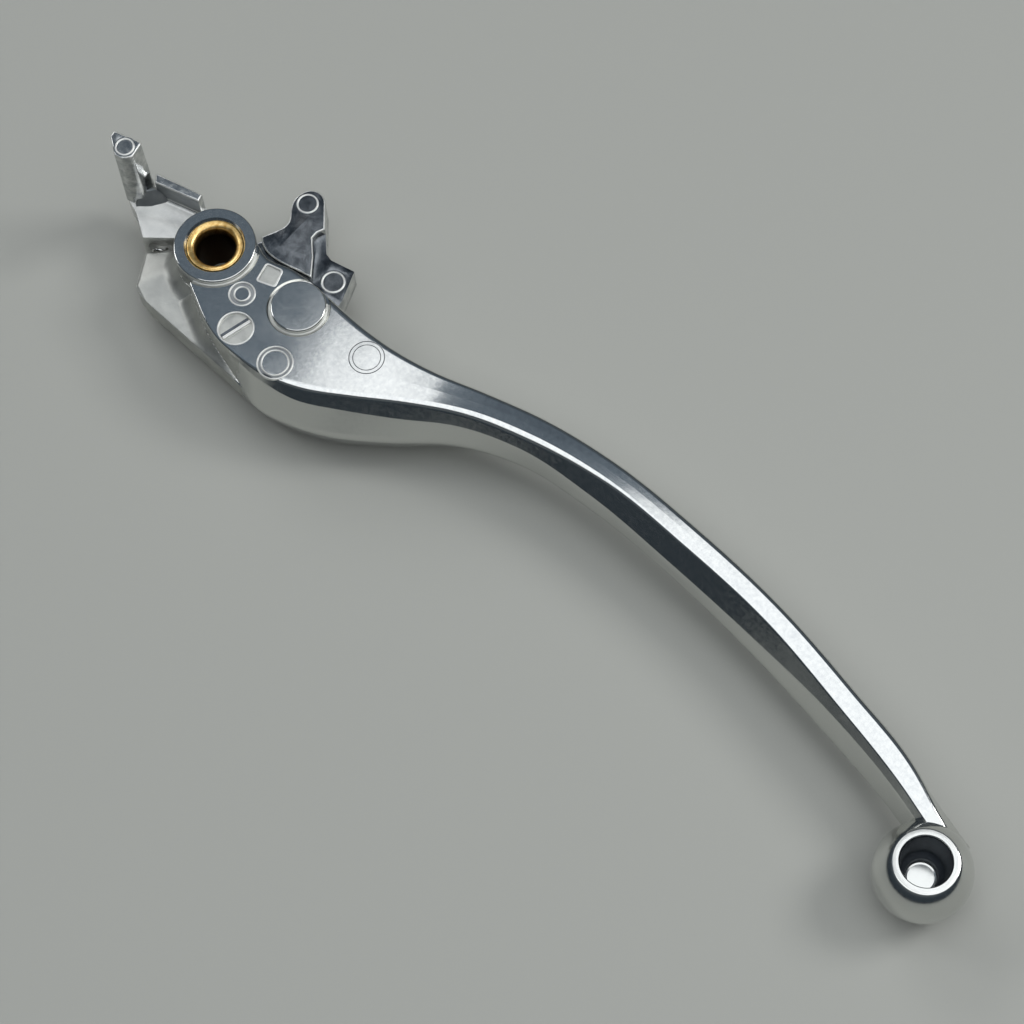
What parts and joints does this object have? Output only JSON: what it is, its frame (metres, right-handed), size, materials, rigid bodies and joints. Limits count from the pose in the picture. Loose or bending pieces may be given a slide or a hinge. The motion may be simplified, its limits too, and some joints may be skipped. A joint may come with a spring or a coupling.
{
  "type": "clutch lever",
  "caption": "Curved hand lever with a ball end, a forked pivot hub with a bush, a knuckle with a switch finger and a dial that sets its reach.",
  "frame": {"origin": "on the pivot axis, in the machined face of the hub", "axes": "+X from the pivot to the centre of the ball, +Y forwards away from the grip, +Z out of the hub face"},
  "size_m": [0.2178, 0.0399, 0.0295],
  "materials": {
    "lever_casting": "die-cast, ground and polished",
    "knuckle_casting": "die-cast",
    "bush_bronze": "turned bronze",
    "spring_steel": "drawn wire",
    "zinc_steel": "zinc-plated",
    "dial_aluminium": "black anodised",
    "washer_polymer": "moulded"
  },
  "bodies": {
    "lever": {"lever_body": "lever_casting", "pivot_bush": "bush_bronze", "thrust_washers": "washer_polymer", "knuckle_spring": "spring_steel", "dial_washer": "zinc_steel"},
    "dial": {"adjuster_cam": "zinc_steel", "adjuster_clip": "spring_steel", "adjuster_dial": "dial_aluminium", "dial_screw": "zinc_steel"},
    "knuckle": {"knuckle": "knuckle_casting"}
  },
  "joints": [
    {"name": "dial_turn", "type": "hinge", "parent": "lever", "child": "dial", "pos_m": [0.0214, 0.0017, 0], "axis": [0, 0, 1], "range_deg": [0, 300]},
    {"name": "knuckle_swing", "type": "hinge", "parent": "lever", "child": "knuckle", "pos_m": [0, 0, 0], "axis": [0, 0, 1], "range_deg": [0, 5.4]}
  ],
  "couplings": [
    {"joint": "knuckle_swing", "follows": "dial_turn", "ratio": 0.01787}
  ]
}
